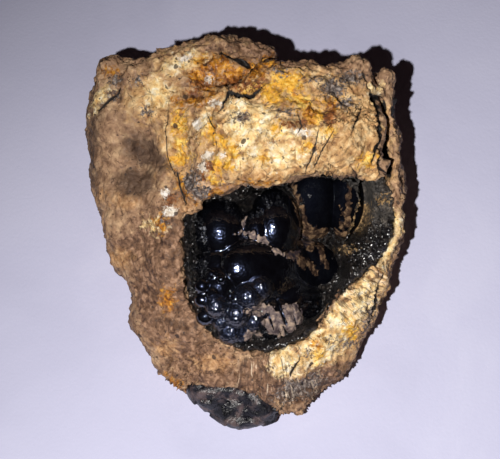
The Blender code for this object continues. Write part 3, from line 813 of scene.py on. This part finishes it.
def crust_material():
    material, tree, shader, where = new_material("limonite")
    tones = dict(Dark=linear(118, 88, 66), Mid=linear(168, 132, 102), Light=linear(208, 172, 134))
    colour = use(tree, MOTTLE, Place=where, Size=2.2, **tones)["Colour"]
    for name, size, ragged, softness, dark, mid, light in CRUST_LAYERS:
        reach = stored(tree, name)
        mask = use(tree, PATCH, Place=where, Reach=reach, Size=size * 0.9, Ragged=ragged, Softness=softness)
        tones = dict(Dark=linear(*dark), Mid=linear(*mid), Light=linear(*light))
        layer = use(tree, MOTTLE, Place=where, Size=size, **tones)
        colour = mixed(tree, mask["Mask"], colour, layer["Colour"])
    flake = ranged(tree, stored(tree, "flake"), 0, 1, 0.0, 0.5)
    colour = mixed(tree, calc(tree, "MULTIPLY", flake, 0.5), colour, linear(96, 70, 48))
    fibre, fibrous = fibre_tone(tree)
    dark_fibre = calc(tree, "MULTIPLY", fibrous, ranged(tree, fibre, 0.5, 0.36))
    colour = mixed(tree, calc(tree, "MULTIPLY", dark_fibre, 0.75), colour, linear(66, 46, 36))
    light_fibre = calc(tree, "MULTIPLY", fibrous, ranged(tree, fibre, 0.56, 0.7))
    colour = mixed(tree, calc(tree, "MULTIPLY", light_fibre, 0.6), colour, linear(250, 226, 196))
    # Painted shade: vertices lying below their neighbours are darkened towards dark brown, as if shaded in the
    # recesses
    recess_shade = ranged(tree, stored(tree, "crevice"), 0.08, 0.34)
    colour = mixed(tree, calc(tree, "MULTIPLY", recess_shade, 0.6), colour, linear(92, 62, 38))
    crumbs = use(tree, GRAIN, Place=where, Size=1.1)
    # Painted shade: thin dark lines along plate edges, standing in for the shade in fine cracks
    for size, width, share in ((2.6, 0.035, 0.44), (1.3, 0.05, 0.38)):
        lines = use(tree, HAIRLINES, Place=where, Size=size, Width=width, Share=share)
        colour = mixed(tree, calc(tree, "MULTIPLY", lines["Mask"], 0.8), colour, linear(60, 38, 24))
    for size, share in ((0.9, 0.16), (1.9, 0.16)):
        specks = use(tree, SPECKS, Place=where, Size=size, Share=share)
        colour = mixed(tree, calc(tree, "MULTIPLY", specks["Mask"], 0.85), colour, linear(52, 38, 32))
    # Painted shade: the cracks and gaps are filled with near black, standing in for the shade inside them
    gap = calc(tree, "ABSOLUTE", stored(tree, "crack_gap"))
    width = stored(tree, "crack_width")
    crack = ranged(tree, calc(tree, "SUBTRACT", gap, width), 0.1, -0.02)
    crack = calc(tree, "MULTIPLY", crack, ranged(tree, width, 0.0, 0.04))
    colour = mixed(tree, crack, colour, linear(18, 12, 9))
    tree.links.new(colour, shader.inputs["Base Color"])
    waxy = ranged(tree, stored(tree, "amber"), -0.6, 0.6)
    rough = ranged(tree, crumbs["Tone"], 0.3, 0.7, 0.6, 0.9)
    tree.links.new(calc(tree, "SUBTRACT", rough, calc(tree, "MULTIPLY", waxy, 0.26)), shader.inputs["Roughness"])
    plates = use(tree, FACETS, Place=where, Size=0.9, Lean=0.5)
    normal = raised(tree, plates["Height"], 1.0, 0.8)
    normal = raised(tree, crumbs["Height"], 0.28, 1.0, normal)
    ridges = calc(tree, "MULTIPLY", fibre, fibrous)
    tree.links.new(raised(tree, ridges, 0.3, 1.0, normal), shader.inputs["Normal"])
    return material


def fibre_tone(tree):
    """The tone of fine fibres that spread from the cavity, and where the crust is fibrous."""
    turn, out = stored(tree, "fibre_turn"), stored(tree, "fibre_out")
    across = calc(tree, "DIVIDE", turn, FIBRE_WIDTH)
    along = calc(tree, "DIVIDE", out, FIBRE_LENGTH)
    placed = place(tree, "ShaderNodeCombineXYZ", {0: across, 1: along}).outputs[0]
    names = {"Vector": placed, "Scale": 1.0, "Detail": 2.0, "Distortion": 0.6}
    fibre = place(tree, "ShaderNodeTexNoise", names)
    return fibre.outputs["Fac"], ranged(tree, stored(tree, "fibrous"), -0.6, 0.8)


# Lining

def dome_field(points):
    """How far each point is outside the domes, run softly together, and the way out."""
    shapes = [(dome[:3], dome[3:6], dome[6:]) for dome in DOMES]
    shapes += [((x, y, z), (size, size, size), (0, 0, 0)) for x, y, z, size in BEADS]
    gaps, ways = [], []
    for centre, sizes, lean in shapes:
        turned = np.array(Euler([math.radians(a) for a in lean]).to_matrix())
        local = (points - centre) @ turned
        shell = np.maximum(np.linalg.norm(local / sizes, axis=1), 1e-6)
        slope = local / np.square(sizes)
        steep = np.maximum(np.linalg.norm(slope, axis=1), 1e-6)
        gaps.append(shell * (shell - 1) / steep)
        ways.append((slope / steep[:, None]) @ turned.T)
    gaps = np.array(gaps)
    least = gaps.min(0)
    pull = np.exp(-(gaps - least) / DOME_BLEND)
    total = pull.sum(0)
    way = np.einsum("ij,ijk->jk", pull / total, np.array(ways))
    return least - DOME_BLEND * np.log(total), way / np.maximum(np.linalg.norm(way, axis=1), 0.2)[:, None]


# Clay and dried films on the domes: ovals, then strips of x, y and half width
CLAY = [
    (3.6, -15.2, 2.8, 1.2, 0), (9.0, -16.6, 2.4, 3.0, 0), (6.4, -17.6, 2.8, 2.6, 0),
    (1.4, -20.2, 1.9, 1.2, 10),
]
CLAY_STRIPS = [
    [(-0.8, 6.4, 0.1), (0.0, 5.0, 0.15), (0.2, 3.4, 0.2), (-0.4, 2.2, 0.35), (-1.0, 1.2, 0.2),
     (-2.2, 0.4, 0.1)],
    [(-1.0, 0.6, 0.2), (1.0, -0.2, 0.5), (3.4, -1.0, 0.6), (5.0, -2.4, 0.45), (7.8, -4.2, 0.3)],
]
WEB_STRIPS = [
    [(9.4, 11.0, 0.5), (10.0, 8.0, 0.8), (11.0, 5.0, 1.1), (11.6, 2.6, 1.3), (12.2, -0.2, 1.3),
     (13.0, -2.4, 0.9)],
    [(12.2, 1.0, 1.2), (14.6, -0.2, 1.5), (17.0, -0.2, 1.5), (20.0, 0.4, 0.9)],
    [(15.4, -0.6, 0.9), (15.4, -3.0, 0.8), (16.2, -6.2, 0.5)],
    [(8.6, -4.0, 0.6), (10.6, -4.6, 1.1), (12.2, -5.8, 1.0), (14.0, -7.4, 0.4)],
    [(20.6, 11.4, 0.3), (20.8, 7.0, 0.5), (20.4, 2.0, 0.7)],
    [(19.0, 6.0, 0.2), (19.4, 0.0, 0.4)],
]
SLOTS = [
    [(6.4, -12.8, 0.1), (7.2, -15.0, 0.4), (8.2, -17.6, 0.35), (8.4, -18.2, 0.05)],
    [(4.6, -15.4, 0.05), (5.2, -17.4, 0.28), (5.8, -19.2, 0.1)],
    [(7.6, -18.2, 0.1), (8.6, -20.2, 0.25)],
    [(6.6, -18.6, 0.05), (7.2, -20.0, 0.15)],
    [(9.6, -15.0, 0.04), (10.2, -17.6, 0.16), (10.4, -19.0, 0.04)],
    [(3.4, -15.0, 0.04), (3.9, -16.2, 0.14)],
]


def strip_reach(seen, strips):
    """Distance inside the nearest of some strips, negative outside."""
    reach = np.full(len(seen), -9.0)
    for path in strips:
        gap, width = line_distance(seen, path)
        reach = np.maximum(reach, width - np.abs(gap))
    return reach


def build_domes():
    """The glossy domes and beads, with clay and films raised on them and slots cut in the clay."""
    edit = bmesh.new()
    for x, y, z, across, up, out, lean_x, lean_y, turn in DOMES:
        add_ellipsoid(edit, (x, y, z), (across, up, out), (lean_x, lean_y, turn), 5)
    for x, y, z, size in BEADS:
        add_ellipsoid(edit, (x, y, z), (size, size, size), detail=4)
    domes = join_in(new_object("goethite_domes", bpy.data.meshes.new("goethite_domes")), edit)
    domes = remeshed(domes, DOME_SIZE)
    mesh = domes.data
    points = get_points(mesh)
    for _ in range(3):
        gap, way = dome_field(points)
        points = points - np.clip(gap, -0.2, 0.2)[:, None] * way
    seen = as_seen(points)
    clay = np.maximum(patch_reach(seen, CLAY), strip_reach(seen, CLAY_STRIPS))
    web = strip_reach(seen, WEB_STRIPS)
    slot = strip_reach(seen, SLOTS)
    ragged = 0.8 * noise_at(points, 1.5, 3, 31) + 0.5 * noise_at(points, 0.6, 2, 32)
    film = np.maximum(clay, web) + ragged
    lift = 0.22 * smooth_step(film, -0.1, 0.15) * (1 + 0.7 * noise_at(points, 0.7, 2, 33))
    lift -= 0.6 * smooth_step(slot, -0.15, 0.1)
    points = points + way * lift[:, None]
    set_points(mesh, points)
    bloom = [(x * 1.02, y * 1.02, size, size, 0) for x, y, z, size in BEADS if size > 2]
    bead = patch_reach(seen, bloom)
    deep = patch_reach(seen, [(17.0, 6.6, 8.6, 9.0, 0), (15.0, -6.0, 5.4, 5.0, 0)])
    keep_attribute(mesh, "beads", smooth_step(bead, -0.2, 0.3))
    depth = smooth_step(deep, -0.5, 1.5)
    keep_attribute(mesh, "deep", depth)
    keep_attribute(mesh, "clay", np.where(clay > web, film, -1.0))
    keep_attribute(mesh, "web", np.where(clay > web, -1.0, film))
    keep_attribute(mesh, "slot", slot)
    mesh.materials.append(dome_material("glossy goethite", 0.5))
    mesh.materials.append(dome_material("dull goethite", 0.06))
    dull = np.zeros(len(mesh.polygons), bool)
    for index, face in enumerate(mesh.polygons):
        dull[index] = all(depth[v] > 0.5 for v in face.vertices)
    mesh.polygons.foreach_set("material_index", dull.astype(np.int32))
    return domes


def build_wall():
    """The broken, grainy edge of the lining, pushed down where the domes stand."""
    wall = smoothed(remeshed(face_copy("goethite_lining", "goethite_wall"), WALL_SIZE), 12)
    mesh = wall.data
    points, edges = get_points(mesh), get_edges(mesh)
    normals = spread_out(get_normals(mesh), edges, 5)
    normals /= np.linalg.norm(normals, axis=1, keepdims=True)
    chips, _ = plate_heights(points, 1.1, 80, 0.2, 0.4)
    small, _ = plate_heights(points, 0.6, 90, 0.1, 0.4)
    height = 0.3 + 0.4 * noise_at(points, 2.5, 3, 5) + chips + small
    points = points + normals * height[:, None]
    under = smooth_step(patch_reach(points[:, :2], DOME_GROUND), -0.5, 0.7) * smooth_step(normals[:, 2], 0.0, 0.3)
    for _ in range(2):
        gap, _ = dome_field(points)
        points[:, 2] -= under * np.clip(gap + 0.9, 0, 8)
    set_points(mesh, points)
    seen = as_seen(points)
    for name, patches in WALL_PATCHES.items():
        keep_attribute(mesh, name, patch_reach(seen, patches))
    mesh.materials.append(wall_material())
    return wall


# Patches of soot and of golden dust on the wall: x and y as seen, half width, half height and turn
WALL_PATCHES = {
    "sooty": [(26.6, 8.0, 5.0, 5.6, 0), (24.0, 10.4, 5.0, 3.0, 0)],
    "golden": [(22.4, 3.0, 2.4, 2.0, 40), (23.6, 5.0, 1.4, 1.4, 0), (27.8, 7.2, 1.0, 0.8, 0), (20.0, -3.0, 1.0, 0.4, 0)],
}


# Size and depth of the gentle waves on the glossy domes, in millimetres
PEEL_SIZE = 0.5
PEEL_DEPTH = 0.15


def dome_material(name, shine):
    """Black goethite with its clay and dried films; shine is how much its smooth black surface reflects."""
    material, tree, shader, where = new_material(name)
    bead, deep = stored(tree, "beads"), stored(tree, "deep")
    clay = ranged(tree, stored(tree, "clay"), -0.05, 0.1)
    web = ranged(tree, stored(tree, "web"), -0.05, 0.2)
    slot = ranged(tree, stored(tree, "slot"), -0.05, 0.05)
    clay_tones = dict(Dark=linear(60, 48, 44), Mid=linear(112, 98, 92), Light=linear(172, 150, 130))
    web_tones = dict(Dark=linear(20, 15, 13), Mid=linear(58, 44, 35), Light=linear(122, 98, 74))
    black_tones = dict(Dark=linear(3, 3, 5), Mid=linear(5, 5, 8), Light=linear(8, 9, 13))
    colour = use(tree, MOTTLE, Place=where, Size=1.6, **black_tones)["Colour"]
    colour = mixed(tree, clay, colour, use(tree, MOTTLE, Place=where, Size=1.2, **clay_tones)["Colour"])
    colour = mixed(tree, web, colour, use(tree, MOTTLE, Place=where, Size=1.2, **web_tones)["Colour"])
    colour = mixed(tree, slot, colour, linear(4, 4, 6))
    tree.links.new(colour, shader.inputs["Base Color"])
    matt = calc(tree, "SUBTRACT", calc(tree, "MAXIMUM", clay, web), slot, clamp=True)
    sheen = calc(tree, "MAXIMUM", ranged(tree, bead, 0, 1, 0.2, 0.44), ranged(tree, deep, 0, 1, 0.2, 0.66))
    tree.links.new(calc(tree, "MAXIMUM", sheen, calc(tree, "MULTIPLY", matt, 0.85)), shader.inputs["Roughness"])
    gloss = calc(tree, "MULTIPLY", calc(tree, "SUBTRACT", 1.0, matt), ranged(tree, deep, 0, 1, 1.0, 0.04))
    tree.links.new(gloss, shader.inputs["Coat Weight"])
    shader.inputs["Specular IOR Level"].default_value = shine
    shader.inputs["Specular Tint"].default_value = linear(170, 190, 255)
    shader.inputs["Coat Roughness"].default_value = 0.07
    shader.inputs["Coat IOR"].default_value = 1.7
    placed = place(tree, "ShaderNodeTexNoise", {"Vector": where, "Scale": 1 / PEEL_SIZE, "Detail": 0.6})
    depth = ranged(tree, bead, 0, 1, 0.45, 1.5)
    normal = raised(tree, calc(tree, "MULTIPLY", placed.outputs["Fac"], depth), PEEL_DEPTH)
    tree.links.new(normal, shader.inputs["Normal"])
    tree.links.new(normal, shader.inputs["Coat Normal"])
    return material


def wall_material():
    material, tree, shader, where = new_material("granular goethite")
    tones = dict(Dark=linear(8, 7, 8), Mid=linear(20, 18, 20), Light=linear(60, 54, 50))
    black = use(tree, MOTTLE, Place=where, Size=1.0, **tones)
    tones = dict(Dark=linear(28, 24, 22), Mid=linear(52, 46, 42), Light=linear(86, 78, 70))
    soot = use(tree, MOTTLE, Place=where, Size=1.4, **tones)
    tones = dict(Dark=linear(90, 66, 36), Mid=linear(150, 118, 74), Light=linear(196, 164, 112))
    gold = use(tree, MOTTLE, Place=where, Size=0.9, **tones)
    sooty = use(tree, PATCH, Place=where, Reach=stored(tree, "sooty"), Size=1.4, Ragged=1.6, Softness=1.6)["Mask"]
    golden = use(tree, PATCH, Place=where, Reach=stored(tree, "golden"), Size=0.7, Ragged=1.2, Softness=0.5)["Mask"]
    colour = mixed(tree, sooty, black["Colour"], soot["Colour"])
    colour = mixed(tree, golden, colour, gold["Colour"])
    tree.links.new(colour, shader.inputs["Base Color"])
    matt = calc(tree, "MAXIMUM", sooty, golden)
    tree.links.new(ranged(tree, matt, 0, 1, 0.3, 0.8), shader.inputs["Roughness"])
    shader.inputs["IOR"].default_value = 1.7
    facets = use(tree, FACETS, Place=where, Size=0.34, Lean=1.8)
    tree.links.new(raised(tree, facets["Height"], 1.0), shader.inputs["Normal"])
    return material


# Nose

def build_nose():
    nose = smoothed(remeshed(face_copy("goethite_nose", "goethite_nose_skin"), NOSE_SIZE), 10)
    mesh = nose.data
    points = get_points(mesh)
    normals = get_normals(mesh)
    chips, _ = plate_heights(warped(points, 3.0, 1.0, 8), 3.2, 95, 0.22, 0.2)
    height = 0.5 + 0.35 * noise_at(points, 4.0, 3, 7) + chips
    set_points(mesh, points + normals * height[:, None])
    mesh.materials.append(nose_material())
    return nose


def nose_material():
    material, tree, shader, where = new_material("filmed goethite")
    tones = dict(Dark=linear(5, 5, 9), Mid=linear(22, 22, 30), Light=linear(92, 78, 78))
    film = use(tree, MOTTLE, Place=where, Size=2.6, **tones)
    tree.links.new(film["Colour"], shader.inputs["Base Color"])
    grain = use(tree, GRAIN, Place=where, Size=0.7)
    tree.links.new(ranged(tree, grain["Tone"], 0.35, 0.65, 0.24, 0.46), shader.inputs["Roughness"])
    tree.links.new(raised(tree, grain["Height"], 0.2), shader.inputs["Normal"])
    return material


# Floor, lights and camera

def build_floor():
    mesh = bpy.data.meshes.new("pale_floor")
    half = 600 * MM
    corners = [(-half, -half, 0), (half, -half, 0), (half, half, 0), (-half, half, 0)]
    mesh.from_pydata(corners, [], [(0, 1, 2, 3)])
    floor = new_object("pale_floor", mesh)
    material, tree, shader, where = new_material("pale paper")
    tones = dict(Dark=linear(195, 196, 223), Mid=linear(199, 200, 227), Light=linear(203, 204, 230))
    paper = use(tree, MOTTLE, Place=where, Size=30.0, **tones)
    tree.links.new(paper["Colour"], shader.inputs["Base Color"])
    shader.inputs["Roughness"].default_value = 0.9
    grain = use(tree, GRAIN, Place=where, Size=1.0)
    tree.links.new(raised(tree, grain["Height"], 0.05), shader.inputs["Normal"])
    mesh.materials.append(material)
    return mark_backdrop(floor)


def face_matrix(position):
    """A place above the face, given in face millimetres, that looks straight down on it."""
    axes = Matrix(FACE_AXES.T.tolist()).to_4x4()
    axes.translation = Vector(off_face(np.array(position)))
    return axes


def build_camera():
    camera = bpy.data.objects.new("camera", bpy.data.cameras.new("camera"))
    camera.data.sensor_width = SENSOR
    camera.data.lens = SENSOR * EYE[2] / VIEW_WIDTH
    camera.data.clip_start = 0.01
    camera.matrix_world = face_matrix(EYE)
    bpy.context.scene.collection.objects.link(camera)
    bpy.context.scene.camera = camera


# The lamp sits beside the camera and points past the stone's near right side, so the far left is dimmer
LAMP = (-29.4, -12.0, 300.0)
LAMP_AIM = (55.0, -75.0, 6.0)
LAMP_SPREAD = 84
LAMP_RADIUS = 2.2
LAMP_WATTS = 5.1


def build_lights():
    data = bpy.data.lights.new("lamp", "SPOT")
    data.spot_size = math.radians(LAMP_SPREAD)
    data.spot_blend = 1.0
    data.shadow_soft_size = LAMP_RADIUS * MM
    data.energy = LAMP_WATTS
    data.color = (1.0, 0.97, 0.93)
    lamp = bpy.data.objects.new("lamp", data)
    start = Vector(off_face(np.array(LAMP)))
    end = Vector(off_face(np.array(LAMP_AIM)))
    lamp.rotation_euler = (end - start).to_track_quat("-Z", "Y").to_euler()
    lamp.location = start
    bpy.context.scene.collection.objects.link(lamp)
    world = bpy.data.worlds.new("soft_room")
    world.use_nodes = True
    back = world.node_tree.nodes["Background"]
    back.inputs["Color"].default_value = (1.0, 0.6, 0.58, 1)
    back.inputs["Strength"].default_value = 0.009
    bpy.context.scene.world = world
    bpy.context.scene.view_settings.view_transform = "Standard"


crust = build_crust()
wall = build_wall()
domes = build_domes()
nose = build_nose()
settle(crust, "crust", "limonite_crust")
settle(wall, "lining", "goethite_lining")
settle(domes, "lining", "goethite_lining")
settle(nose, "nose", "goethite_nose")
build_floor()
build_lights()
build_camera()
